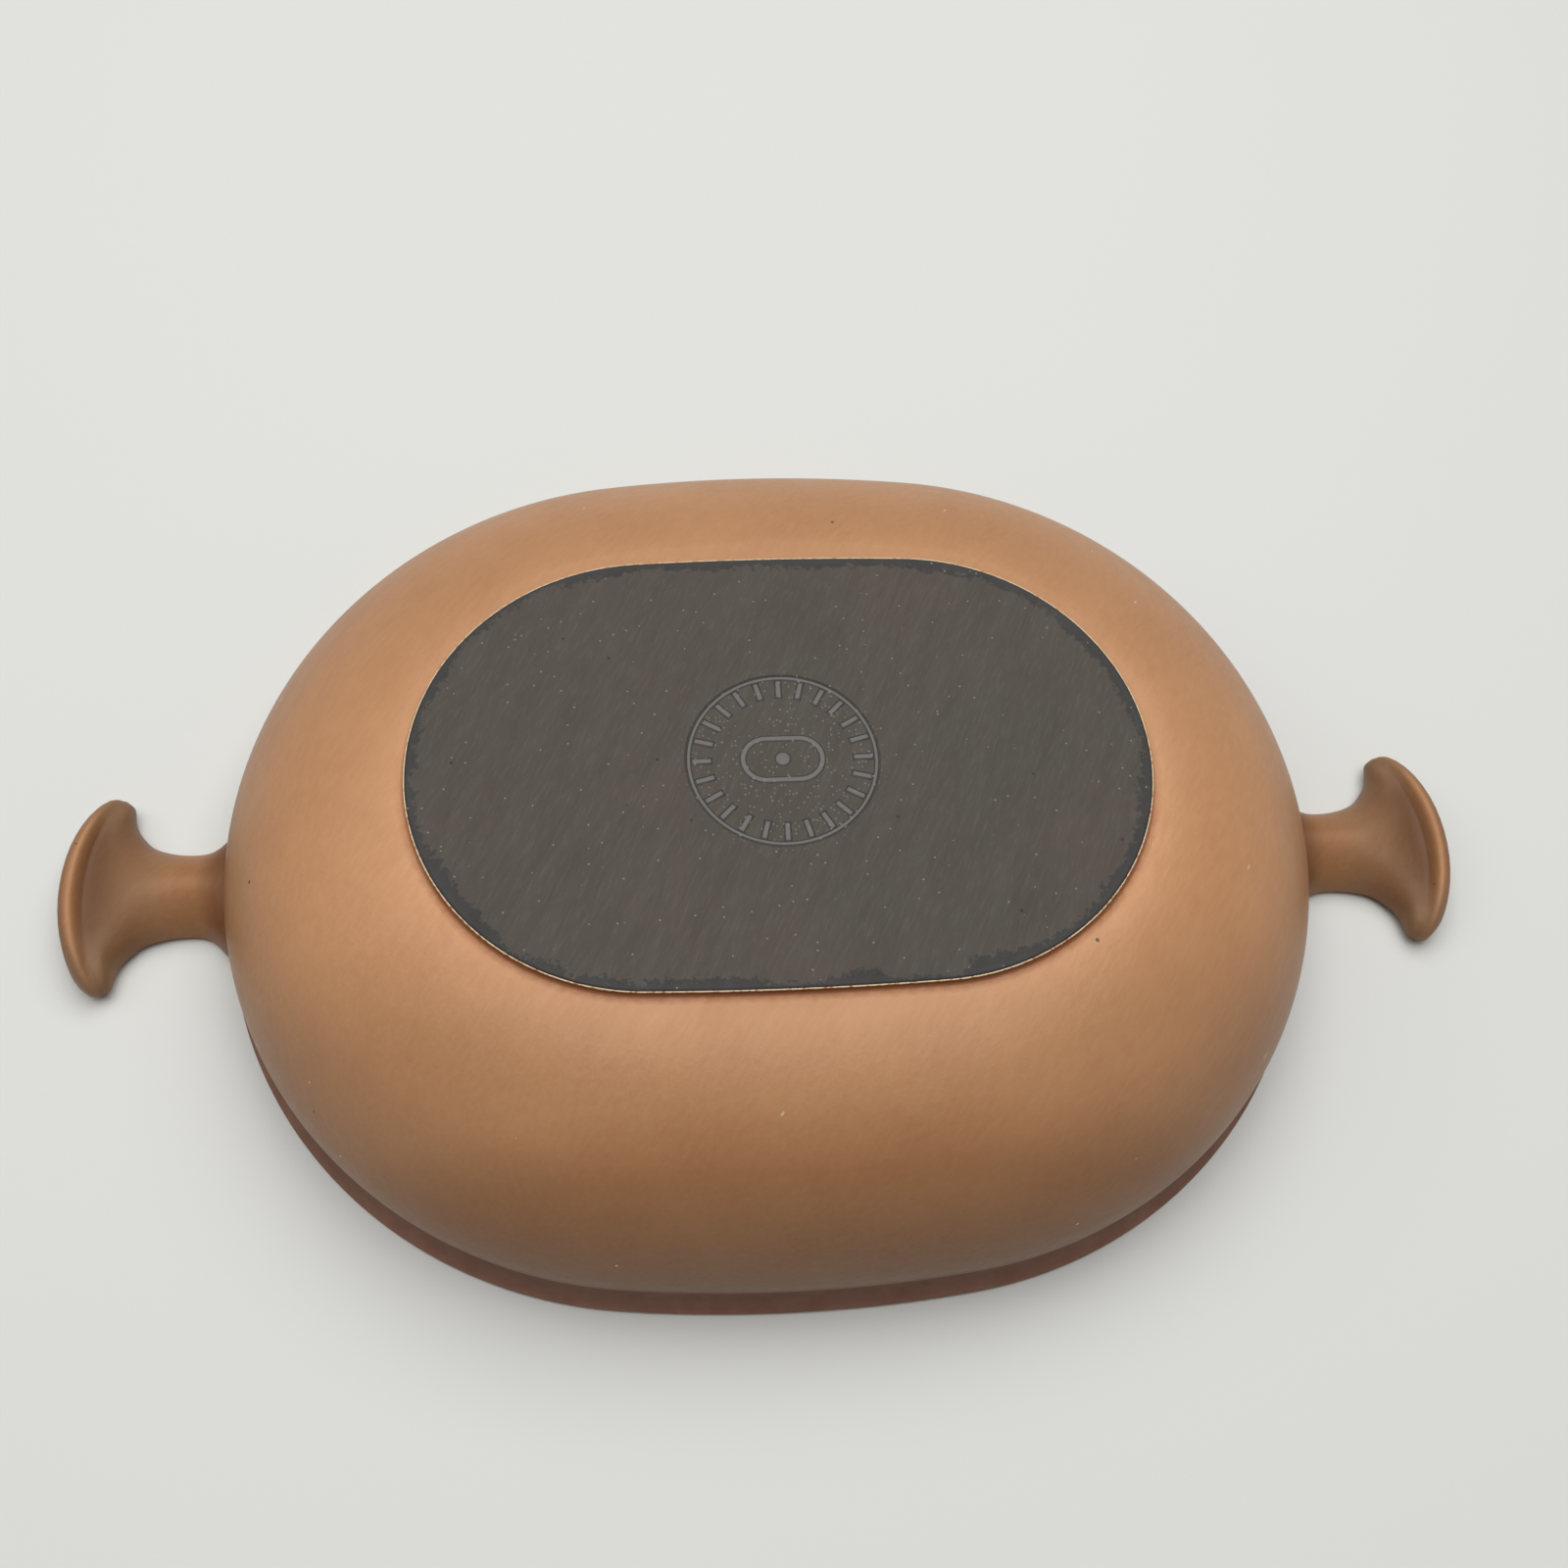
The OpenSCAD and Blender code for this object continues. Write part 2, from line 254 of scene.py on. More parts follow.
def spin_round(points, x, shift):
    """Spins an outline round the four arcs of an oval and closes the seam."""
    lean = math.asin(x/shift)
    bow = shift*math.cos(lean)/1000
    start_outline(points, x)
    bpy.ops.mesh.select_linked()
    for turn, steps, centre in (
            (math.pi/2 - lean, end_steps//2, (x/1000, 0, 0)),
            (2*lean, side_steps, (0, -bow, 0)),
            (math.pi - 2*lean, end_steps, (-x/1000, 0, 0)),
            (2*lean, side_steps, (0, bow, 0)),
            (math.pi/2 - lean, end_steps//2, (x/1000, 0, 0))):
        bpy.ops.mesh.spin(steps=steps, angle=turn, center=centre, axis=(0, 0, -1))
    bpy.ops.mesh.select_all(action="SELECT")
    bpy.ops.mesh.remove_doubles(threshold=seam_slack/1000)


def select_open_edges(piece, height, slack):
    """Selects the open edges that lie at a height, give or take the slack."""
    bpy.ops.mesh.select_mode(type="EDGE")
    bpy.ops.mesh.select_all(action="DESELECT")
    mesh = bmesh.from_edit_mesh(piece.data)
    for edge in mesh.edges:
        level = all(abs(vertex.co.z*1000 - height) < slack for vertex in edge.verts)
        if level and len(edge.link_faces) < 2:
            edge.select = True
    bmesh.update_edit_mesh(piece.data)


def face_outwards():
    """Points every face of the piece in edit mode outwards."""
    bpy.ops.mesh.select_mode(type="VERT")
    bpy.ops.mesh.select_all(action="SELECT")
    bpy.ops.mesh.normals_make_consistent(inside=False)


def apply_modifier(piece, kind, **settings):
    """Finishes the piece in edit mode with a modifier."""
    bpy.ops.object.mode_set(mode="OBJECT")
    modifier = piece.modifiers.new("finish", kind)
    for key, value in settings.items():
        setattr(modifier, key, value)
    bpy.ops.object.modifier_apply(modifier="finish")
    bpy.ops.object.mode_set(mode="EDIT")


def thicken(piece):
    """Gives the skin in edit mode the thickness of a coat, behind its faces."""
    apply_modifier(piece, "SOLIDIFY", thickness=coat_t/1000, offset=-1, use_even_offset=True)


def close_piece(piece, body="root", replaces=(), angle=35):
    """Leaves edit mode, smooths the faces and hands the piece to the frame."""
    face_outwards()
    bpy.ops.object.mode_set(mode="OBJECT")
    bpy.ops.object.select_all(action="DESELECT")
    piece.select_set(True)
    bpy.context.view_layer.objects.active = piece
    bpy.ops.object.shade_smooth_by_angle(angle=math.radians(angle))
    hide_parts(*replaces)
    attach(piece, body)


def mark_edge(piece, radius):
    """Stores how far each point lies inside the oval edge of the foot, in millimetres."""
    edge = piece.data.attributes.new("edge_distance", "FLOAT", "POINT")
    lean = math.asin(pad_x/pad_shift)
    bow = pad_shift*math.cos(lean)
    for vertex, value in zip(piece.data.vertices, edge.data):
        x, y = abs(vertex.co.x)*1000, abs(vertex.co.y)*1000
        on_end_arc = x > (y + bow)*math.tan(lean)
        out = math.hypot(x - pad_x, y) if on_end_arc else math.hypot(x, y + bow) - pad_shift
        value.value = radius - out


outer = new_piece("enamel_of_bowl")
foot_side = [(pad_r + out, dish_h + up) for out, up in coat_end]
foot_side += quarter_round((pad_r + cove, crown_h + cove), -cove, -cove, cove_turns)
spin_round(foot_side, pad_x, pad_shift)
spin_round(dome_outline(0, crown_turn, dome_steps) + tuck_outline(), end_x, side_shift)
select_open_edges(outer, crown_h, cove_slack)
bpy.ops.mesh.bridge_edge_loops()
face_outwards()
thicken(outer)
close_piece(outer, replaces=["outer_enamel"], angle=50)
mark_edge(outer, pad_r)

# Colours of the coat where it is thin and thick, of its grain and its specks, and of the painted
# highlight at its end
bronze_dark, bronze_light = (0.52, 0.245, 0.108, 1), (0.58, 0.285, 0.130, 1)
bronze_grain, bronze_fleck = (0.66, 0.36, 0.18, 1), (0.62, 0.42, 0.26, 1)
pit_colour, bronze_edge_highlight = (0.12, 0.06, 0.03, 1), (0.60, 0.47, 0.31, 1)
spray_turn = -0.6
# How the coat's colour changes over the bowl, all painted shade: darker towards the rim, on
# the near side and just above the waist, with a painted grey sheen low on the near side: an
# axis, where the change starts and is in full, in metres, and the tint
bowl_painted_shade = (("Z", 0.048, 0.018, (0.58, 0.58, 0.58, 1)),
              ("Y", -0.05, 0.05, (0.79, 0.79, 0.77, 1)),
              ("Y", -0.03, -0.055, (0.82, 0.82, 0.82, 1)),
              ("Y", -0.073, -0.085, (0.80, 0.745, 0.67, 1)),
              ("Y", -0.087, -0.1, (0.94, 1.03, 1.2, 1)),
              ("Z", 0.014, 0.0086, (0.29, 0.26, 0.27, 1)),
              ("Z", 0.0094, 0.0085, (0.6, 0.5, 0.48, 1)))
# Painted shade beside the foot on its near side: its tint comes in between two edge
# distances, measured with up to the fray of noise added, in millimetres, and between two
# places along Y, in metres
foot_side_painted_shade, foot_side_reach, foot_side_fray = (0.6, 0.45, 0.34, 1), (-1.3, 0.3), 1.6
near_side = (0.005, -0.03)
# Painted shade and a painted reflection of the handle beside the root of a handle: the tint,
# its middle, its shape and its reach
root_painted_shade, root_place = (0.66, 0.56, 0.46, 1), (0.127, 0, 0.016)
root_stretch, root_reach = (1, 0.55, 1), (0.017, 0.008)
# The painted highlight at the coat's end by the foot comes in between two heights, measured
# with up to the fray of noise added, all in metres
highlight_heights, highlight_fray = (0.06025, 0.0604), 0.0012


def object_place(tree, turn=0.0, stretch=(1, 1, 1)):
    """Object coordinates, turned about Z and stretched."""
    mapping = add_node(tree, "ShaderNodeMapping", vector_type="TEXTURE",
                       Rotation=(0, 0, turn), Scale=stretch)
    source = add_node(tree, "ShaderNodeTexCoord")
    tree.links.new(source.outputs["Object"], mapping.inputs["Vector"])
    return mapping.outputs["Vector"]


def split_axes(tree, place):
    """The X, Y and Z of a place, by name."""
    made = add_node(tree, "ShaderNodeSeparateXYZ")
    tree.links.new(place, made.inputs[0])
    return made.outputs


def noise(tree, place, scale, detail=4, roughness=0.6):
    """A noise texture's grey value."""
    made = add_node(tree, "ShaderNodeTexNoise", Scale=scale, Detail=detail, Roughness=roughness)
    tree.links.new(place, made.inputs["Vector"])
    return made.outputs["Fac"]


def speckle(tree, place, scale, size, share):
    """1 in a few small spots of a Voronoi pattern, else 0."""
    cells = add_node(tree, "ShaderNodeTexVoronoi", Scale=scale)
    tree.links.new(place, cells.inputs["Vector"])
    split = add_node(tree, "ShaderNodeSeparateColor")
    tree.links.new(cells.outputs["Color"], split.inputs[0])
    near = calculate(tree, "LESS_THAN", cells.outputs["Distance"], size)
    rare = calculate(tree, "LESS_THAN", split.outputs[0], share)
    return calculate(tree, "MULTIPLY", near, rare)


def edge_distance(tree):
    """How far inside the foot's edge a point lies, as mark_edge stored it."""
    return add_node(tree, "ShaderNodeAttribute", attribute_name="edge_distance").outputs["Fac"]


def blend_colours(tree, factor, first, second, how="MIX"):
    """Mix of two colours, each a socket or a colour, by a socket or a number."""
    made = add_node(tree, "ShaderNodeMix", data_type="RGBA", blend_type=how)
    # a Mix node's factor and its two colours are its sockets 0, 6 and 7
    for index, given in ((0, factor), (6, first), (7, second)):
        feed(tree, made.inputs[index], given)
    return made.outputs[2]


def mottle(tree, place, scale, detail, first, second):
    """Soft cloudy patches of two colours."""
    return blend_colours(tree, remap(tree, noise(tree, place, scale, detail), 0.3, 0.7),
                         first, second)


def vary_roughness(tree, shader, place, scale, detail, low, high):
    """Roughness that changes a little from place to place."""
    tree.links.new(remap(tree, noise(tree, place, scale, detail), 0.3, 0.7, low, high),
                   shader.inputs["Roughness"])


def link_bump(tree, shader, heights):
    """Chains bumps, each a height socket, a strength and a distance."""
    last = None
    for height, strength, distance in heights:
        bump = add_node(tree, "ShaderNodeBump", Strength=strength, Distance=distance)
        tree.links.new(height, bump.inputs["Height"])
        if last:
            tree.links.new(last, bump.inputs["Normal"])
        last = bump.outputs["Normal"]
    tree.links.new(last, shader.inputs["Normal"])


def bronze_look(name, gloss):
    """The bronze enamel: its material, tree and shader, its place and its colour so far."""
    look, tree, shader = new_material(name)
    shader.inputs["Metallic"].default_value = 0.1
    shader.inputs["Specular IOR Level"].default_value = gloss
    place = object_place(tree)
    slanted = object_place(tree, turn=spray_turn, stretch=(1, 5, 1))
    colour = mottle(tree, place, 45, 5, bronze_dark, bronze_light)
    colour = blend_colours(tree, remap(tree, noise(tree, slanted, 900, 3), 0.35, 0.75, 0, 0.35),
                           colour, bronze_grain)
    vary_roughness(tree, shader, slanted, 300, 4, 0.38, 0.46)
    link_bump(tree, shader, [(noise(tree, place, 620, 3), 0.5, 0.00015),
                             (noise(tree, slanted, 1400, 2), 0.3, 0.00008),
                             (speckle(tree, place, 210, 0.1, 0.16), 0.35, 0.00012)])
    return look, tree, shader, place, colour


enamel, tree, shader, place, colour = bronze_look("bronze_enamel", 0.36)
axes = split_axes(tree, place)
# painted shade and painted sheen over the bowl
for axis, start, end, tint in bowl_painted_shade:
    colour = blend_colours(tree, remap(tree, axes[axis], start, end), colour, tint, "MULTIPLY")

# Painted shade darkens and browns the coat on the near side of the foot, and painted shade with
# a painted reflection of the handle darkens it where a handle joins the bowl.
# painted shade beside the foot, near side only
frayed = calculate(tree, "MULTIPLY_ADD", noise(tree, place, 500, 4), foot_side_fray,
                   edge_distance(tree))
shade_beside_foot = calculate(tree, "MULTIPLY", remap(tree, frayed, *foot_side_reach),
                        remap(tree, axes["Y"], *near_side))
colour = blend_colours(tree, shade_beside_foot, colour, foot_side_painted_shade, "MULTIPLY")
# painted shade and reflection beside each handle's root
folded = calculate_vector(tree, "ABSOLUTE", "Vector", place)
drawn_in = calculate_vector(tree, "MULTIPLY", "Vector", folded, root_stretch)
from_root = calculate_vector(tree, "DISTANCE", "Value", drawn_in, root_place)
colour = blend_colours(tree, remap(tree, from_root, *root_reach), colour, root_painted_shade, "MULTIPLY")

# A ragged pale line of painted highlight ends the coat at the foot, and light and dark specks
# lie on it.
ragged = calculate(tree, "MULTIPLY_ADD", noise(tree, place, 900, 4), highlight_fray, axes["Z"])
colour = blend_colours(tree, remap(tree, ragged, *highlight_heights), colour, bronze_edge_highlight)
long_spots = object_place(tree, turn=spray_turn, stretch=(1, 3.5, 1))
colour = blend_colours(tree, speckle(tree, long_spots, 260, 0.075, 0.1), colour, bronze_fleck)
colour = blend_colours(tree, speckle(tree, place, 130, 0.06, 0.05), colour, pit_colour)
tree.links.new(colour, shader.inputs["Base Color"])
outer.data.materials.append(enamel)


# Matt ground coat of the rim
# The matt black-brown coat that is fired on first. It shows where the colour is wiped
# off, from the waist over the flared rim and a little way into the mouth.
rim_out, rim_edge_h, rim_round, mouth_band_h = 2.1, 2.0, 0.5, 3.0
iron_t = 3.8
wall_t = iron_t + 2*coat_t
mouth_r, rim_r = end_r - wall_t, end_r + rim_out
flare_steps, top_turns, edge_turns = 14, (68, 45, 22, 0), (0, 30, 60, 90)
ground_dark, ground_light = (0.165, 0.072, 0.045, 1), (0.225, 0.105, 0.066, 1)
# The pale line of painted highlight at the rim's edge: it fades out upwards, and down to the
# land
rim_edge_highlight, fade_up, fade_down = (0.42, 0.33, 0.27, 1), (0.0017, 0.0012), (0.0, 0.0003)


def flare_outline(steps):
    """Points of the rim from the waist out to its edge."""
    tuck = 2*math.atan(waist_in/(belly_h - waist_h))
    run, drop = waist_in + rim_out - rim_round, waist_h - rim_edge_h
    end = 2*math.atan(run/drop) + tuck
    radius = math.hypot(run, drop)/(2*math.sin((end + tuck)/2))
    centre = (end_r - waist_in + radius*math.cos(tuck), waist_h - radius*math.sin(tuck))
    turns = [-tuck + (end + tuck)*i/steps for i in range(steps + 1)]
    return [(centre[0] - radius*math.cos(a), centre[1] - radius*math.sin(a)) for a in turns]


rim = new_piece("ground_coat_of_rim")
rim_side = flare_outline(flare_steps)
rim_side += quarter_round((rim_r - rim_round, rim_edge_h - rim_round), rim_round, rim_round,
                          top_turns)
rim_side += quarter_round((rim_r - rim_round, rim_round), rim_round, -rim_round, edge_turns)
rim_side += quarter_round((mouth_r + rim_round, rim_round), -rim_round, -rim_round,
                          reversed(edge_turns))
rim_side += [(mouth_r, mouth_band_h)]
spin_round(rim_side, end_x, side_shift)
face_outwards()
thicken(rim)
close_piece(rim, replaces=["rim_ground_coat"])

ground_coat, tree, shader = new_material("ground_coat")
place = object_place(tree)
height = split_axes(tree, place)["Z"]
colour = mottle(tree, place, 120, 5, ground_dark, ground_light)
# painted highlight along the rim's rounded edge
highlight_share = calculate(tree, "MULTIPLY", remap(tree, height, *fade_up),
                 remap(tree, height, *fade_down))
colour = blend_colours(tree, highlight_share, colour, rim_edge_highlight)
tree.links.new(colour, shader.inputs["Base Color"])
vary_roughness(tree, shader, place, 500, 3, 0.55, 0.7)
link_bump(tree, shader, [(noise(tree, place, 1200, 3), 0.3, 0.0001)])
rim.data.materials.append(ground_coat)


# Coat of the cooking surface
# The same kind of glass enamel on the inside, darker than on the outside, from the band
# at the mouth up over the floor of the dish. The photo doesn't show it.
floor_h = crown_h - wall_t
inside_turn, inside_steps, floor_slack = 86, 40, 0.05
wall_heights, floor_steps_in = (mouth_band_h, 6, 11, belly_h), (3, 12)
inside_dark, inside_light = (0.045, 0.038, 0.034, 1), (0.07, 0.058, 0.05, 1)

inner = new_piece("enamel_of_inside")
inner_side = [(mouth_r, height) for height in wall_heights]
inner_side += reversed(dome_outline(wall_t, inside_turn, inside_steps))
inner_side += [(crown_r - step, floor_h) for step in floor_steps_in]
spin_round(inner_side, end_x, side_shift)
select_open_edges(inner, floor_h, floor_slack)
bpy.ops.mesh.edge_face_add()
face_outwards()
bpy.ops.mesh.flip_normals()
thicken(inner)
close_piece(inner, replaces=["inner_enamel"])

inside_look, tree, shader = new_material("inside_enamel")
place = object_place(tree)
colour = mottle(tree, place, 60, 5, inside_dark, inside_light)
tree.links.new(colour, shader.inputs["Base Color"])
vary_roughness(tree, shader, place, 400, 3, 0.3, 0.42)
link_bump(tree, shader, [(noise(tree, place, 800, 3), 0.25, 0.0001)])
inner.data.materials.append(inside_look)


# Matt coat on the foot
# The foot is a raised plateau that was wiped clean of colour before firing, so the
# dark ground coat shows. Sharp iron grains and hob wear leave specks and streaks.
foot_r = pad_r - coat_t
recess_r, recess_depth, recess_points, face_slack = 20.9, 0.25, 192, 0.01
# the foot's rounded edge, as steps out from its radius and up from its face
foot_edge = ((-0.05, -0.6), (0, -0.3), (-0.06, -0.14), (-0.22, -0.04), (-0.5, 0))
face_steps_in = (1, 1.6, 2.4, 3.4, 5, 8, 13, 19, 25)
# the recess's soft wall, from its lip to its floor
recess_lip = 0.2
recess_wall = ((0.06, -0.03), (-0.02, -0.1), (-0.06, -0.19),
               (-0.2, -recess_depth), (-1, -recess_depth))
streak_turn = -0.44
foot_grey, foot_brown = (0.062, 0.055, 0.043, 1), (0.076, 0.058, 0.046, 1)
pale_streak, dark_streak = (0.135, 0.125, 0.112, 1), (0.05, 0.043, 0.036, 1)
flaked, border_shade = (0.03, 0.029, 0.028, 1), (0.052, 0.048, 0.044, 1)
edge_shade_line, foot_pit = (0.02, 0.018, 0.016, 1), (0.03, 0.028, 0.025, 1)
foot_grain, recess_grain = (0.19, 0.18, 0.16, 1), (0.15, 0.14, 0.125, 1)
# millimetres in from the edge: the flakes, measured with the noise of both frays added,
# the shaded border and the dark line of painted shade
flake_reach, border_reach, line_reach = (-6.3, -6.7), (1.7, 0.9), (0.5, 0.1)
patch_fray, flake_fray = -8, -9
# metres from the middle of the foot
recess_reach = (0.0235, 0.019)


def picked_points(piece):
    """The selected points of the piece in edit mode."""
    return [vertex for vertex in bmesh.from_edit_mesh(piece.data).verts if vertex.select]


foot = new_piece("coat_of_foot")
foot_outline = [(foot_r + out, dish_h + up) for out, up in foot_edge]
foot_outline += [(foot_r - step, dish_h) for step in face_steps_in]
spin_round(foot_outline, pad_x, pad_shift)
bpy.ops.mesh.primitive_circle_add(vertices=recess_points, radius=(recess_r + recess_lip)/1000,
                                  location=(0, 0, dish_h/1000))
for out, up in recess_wall:
    bpy.ops.mesh.extrude_region_move()
    for vertex in picked_points(foot):
        flat = Vector((vertex.co.x, vertex.co.y, 0)).normalized()
        vertex.co = flat*(recess_r + out)/1000
        vertex.co.z = (dish_h + up)/1000
bpy.ops.mesh.edge_face_add()
select_open_edges(foot, dish_h, face_slack)
bpy.ops.mesh.bridge_edge_loops()
close_piece(foot, replaces=["foot_ground_coat"], angle=60)
mark_edge(foot, foot_r)

foot_look, tree, shader = new_material("foot_coat")
shader.inputs["Specular IOR Level"].default_value = 0.25
place = object_place(tree)
slanted = object_place(tree, turn=streak_turn, stretch=(1, 7, 1))
colour = blend_colours(tree, remap(tree, noise(tree, place, 28, 4), 0.35, 0.65),
                       foot_grey, foot_brown)
colour = blend_colours(tree, remap(tree, noise(tree, slanted, 1500, 3), 0.5, 0.8, 0, 0.35),
                       colour, pale_streak)
colour = blend_colours(tree, remap(tree, noise(tree, slanted, 1100, 3), 0.5, 0.3, 0, 0.4),
                       colour, dark_streak)

# Near its edge the coat is flaked off in patches, and a fine dark line of painted shade on the
# rounded edge ends it.
border = edge_distance(tree)
patches = calculate(tree, "MULTIPLY_ADD", noise(tree, place, 75, 2), patch_fray, border)
flakes = calculate(tree, "MULTIPLY_ADD", noise(tree, place, 650, 6, 0.75), flake_fray, patches)
colour = blend_colours(tree, remap(tree, flakes, *flake_reach, 0, 0.92), colour, flaked)
colour = blend_colours(tree, remap(tree, border, *border_reach, 0, 0.2), colour, border_shade)
colour = blend_colours(tree, remap(tree, border, *line_reach, 0, 0.8), colour, edge_shade_line)

# Grains and pits lie all over it, and more grains in the recess.
colour = blend_colours(tree, speckle(tree, place, 700, 0.16, 0.12), colour, foot_grain)
colour = blend_colours(tree, speckle(tree, place, 300, 0.12, 0.05), colour, foot_pit)
from_middle = calculate_vector(tree, "DISTANCE", "Value", place, (0, 0, dish_h/1000))
grains = calculate(tree, "MULTIPLY", remap(tree, from_middle, *recess_reach),
                   speckle(tree, place, 1300, 0.3, 0.3))
colour = blend_colours(tree, grains, colour, recess_grain)
tree.links.new(colour, shader.inputs["Base Color"])
vary_roughness(tree, shader, slanted, 300, 4, 0.5, 0.65)
link_bump(tree, shader, [(noise(tree, place, 500, 5, 0.7), 0.5, 0.0002),
                         (noise(tree, slanted, 1300, 2), 0.4, 0.0001)])
foot.data.materials.append(foot_look)


# Relief in the foot's recess
# A plain ring of bars round a small oval with a pip, inside a narrow raised line along
# the recess's wall. It is cast in one with the foot, and the coat softens its edges.
bar_count, bar_l, bar_w, bar_out = 24, 4.0, 1.0, 1.6
bar_base_draft, bar_top_draft = 0.8, -0.3
relief_h = recess_depth - 0.05
relief_mid = dish_h - recess_depth + relief_h/2
motif_l, motif_w, motif_line, motif_draft = 18.0, 11.0, 1.0, 0.3
ring_in, ring_w, pip_r = 0.2, 1.2, 1.8
slope, relief_round, ring_vertices, on_axis = 0.4, 0.06, 144, 1e-6
relief_lit_top, relief_shaded_side = (0.115, 0.105, 0.095, 1), (0.014, 0.012, 0.01, 1)
relief_grain = (0.14, 0.13, 0.12, 1)
# the heights at which the relief's pale top of painted light turns to its dark sides of painted
# shade
side_heights = (0.05994, 0.0599)


def raise_bar(piece, turn):
    """A bar with sloped sides that points at the middle of the foot."""
    along = Vector((math.cos(turn), math.sin(turn), 0))
    over = Vector((-math.sin(turn), math.cos(turn), 0))
    middle = (along*(recess_r - bar_out - bar_l/2) + Vector((0, 0, relief_mid)))/1000
    bpy.ops.mesh.select_all(action="DESELECT")
    bpy.ops.mesh.primitive_cube_add(size=0.001, location=middle, rotation=(0, 0, turn))
    for vertex in picked_points(piece):
        off = vertex.co - middle
        draft = bar_base_draft if off.z < 0 else bar_top_draft
        vertex.co = (middle + along*off.dot(along)*(bar_l + draft)
                     + over*off.dot(over)*(bar_w + draft) + Vector((0, 0, off.z*relief_h)))


def raise_ring(piece, outer_r, inner_r, spread):
    """A ring, or a disc with no inner radius, drawn out along X and raised with a slope."""
    bpy.ops.mesh.select_all(action="DESELECT")
    bpy.ops.mesh.primitive_circle_add(vertices=ring_vertices, radius=outer_r/1000,
                                      fill_type="NOTHING" if inner_r else "NGON",
                                      location=(0, 0, (dish_h - recess_depth)/1000))
    if inner_r:
        bpy.ops.mesh.extrude_region_move()
        for vertex in picked_points(piece):
            vertex.co.x *= inner_r/outer_r
            vertex.co.y *= inner_r/outer_r
        bpy.ops.mesh.select_linked()
    for vertex in picked_points(piece):
        if abs(vertex.co.x) > on_axis:
            vertex.co.x += math.copysign(spread, vertex.co.x)/1000
    bpy.ops.mesh.select_mode(type="FACE")
    bpy.ops.mesh.normals_make_consistent(inside=False)
    bpy.ops.mesh.inset(thickness=slope/1000, depth=0)
    bpy.ops.transform.translate(value=(0, 0, relief_h/1000))
    bpy.ops.mesh.select_mode(type="VERT")


mark = new_piece("relief_of_foot")
for i in range(bar_count):
    raise_bar(mark, 2*math.pi*i/bar_count)
raise_ring(mark, motif_w/2 + motif_draft, motif_w/2 - motif_line - motif_draft,
           (motif_l - motif_w)/2)
raise_ring(mark, recess_r - ring_in, recess_r - ring_in - ring_w, 0)
raise_ring(mark, pip_r, 0, 0)
face_outwards()
apply_modifier(mark, "BEVEL", width=relief_round/1000, segments=2, limit_method="ANGLE")
close_piece(mark, replaces=["casting_mark"])

relief_look, tree, shader = new_material("foot_relief")
shader.inputs["Roughness"].default_value = 0.55
place = object_place(tree)
height = split_axes(tree, place)["Z"]
# painted light on the relief's tops and painted shade on its sides
colour = blend_colours(tree, remap(tree, height, *side_heights), relief_lit_top, relief_shaded_side)
colour = blend_colours(tree, speckle(tree, place, 900, 0.3, 0.25), colour, relief_grain)
tree.links.new(colour, shader.inputs["Base Color"])
link_bump(tree, shader, [(noise(tree, place, 1500, 3), 0.3, 0.0001)])
mark.data.materials.append(relief_look)


# Handles
# A wide lug at each end, of the same casting: a stem with an almost flat underside, just
# above the rim's plane, spreads into two horns under a raised lip. The colour enamel
# wraps it.
handle_reach, handle_span, stem_w, edge_curve_r = 39.7, 49.6, 20.2, 56.5
root_top_h, valley_h, stem_edge_h, lip_edge_h = 12.3, 9.5, 1.3, 3.5
stem_lift, lip_lift, horn_drop = 0.8, 1.8, 0.5
stem_squareness, horn_squareness = 1.7, 0.9
left_drift = 0.8
# shares of those sizes at stations from the root to the end of the lip
along_shares = (-0.1, 0.01, 0.16, 0.34, 0.53, 0.65, 0.74, 0.805, 0.855, 0.885, 0.93, 0.98, 1)
spread_shares = (0.7, 0.46, 0.06, 0, 0.12, 0.36, 0.59, 0.86, 0.96, 0.98, 0.985, 0.81, 0.56)
bend_shares = (0, 0, 0, 0, 0.1, 0.4, 0.8, 0.95, 1, 1, 1, 1, 1)
top_shares = (1.04, 1, 0.9, 0.81, 0.68, 0.53, 0.37, 0.24, 0.25, 0.5, 1.2, 0.85, -0.2)
edge_shares = (0, 0, 0, 0.1, 0.3, 0.5, 0.7, 0.85, 0.95, 1, 1, 1, 1)
under_shares = (0, 0, 0, 0.1, 0.3, 0.5, 0.7, 0.85, 0.95, 1, 1, 1.2, 1.6)
droop_shares = (0, 0, 0, 0, 0, 0.2, 0.4, 0.5, 0.5, 0.5, 1, 0.7, 0.3)
rings_per_station, ring_points = 4, 40
ring_count = (len(along_shares) - 1)*rings_per_station + 1
ring_step = 2*math.pi/ring_points
# painted shade and highlight along a handle, from its dark root and lip valley to the bright
# crest of its lip, by shares of the way between two places along X, in metres
tint_from, tint_to = 0.126, 0.166
handle_painted_light = ((0, (0.27, 0.2, 0.16, 1)), (0.12, (0.33, 0.27, 0.22, 1)),
                (0.24, (0.58, 0.55, 0.5, 1)), (0.38, (0.59, 0.58, 0.56, 1)),
                (0.48, (0.52, 0.54, 0.56, 1)), (0.68, (0.36, 0.35, 0.34, 1)),
                (0.8, (0.25, 0.23, 0.2, 1)), (0.875, (0.22, 0.19, 0.16, 1)),
                (0.925, (0.74, 0.74, 0.74, 1)), (1, (0.38, 0.35, 0.33, 1)))
# the horns' greyer painted shade, and the squares of the places along Y between which it comes
# in
horn_painted_shade, horn_from, horn_to = (0.46, 0.53, 0.6, 1), 0.00012, 0.0004


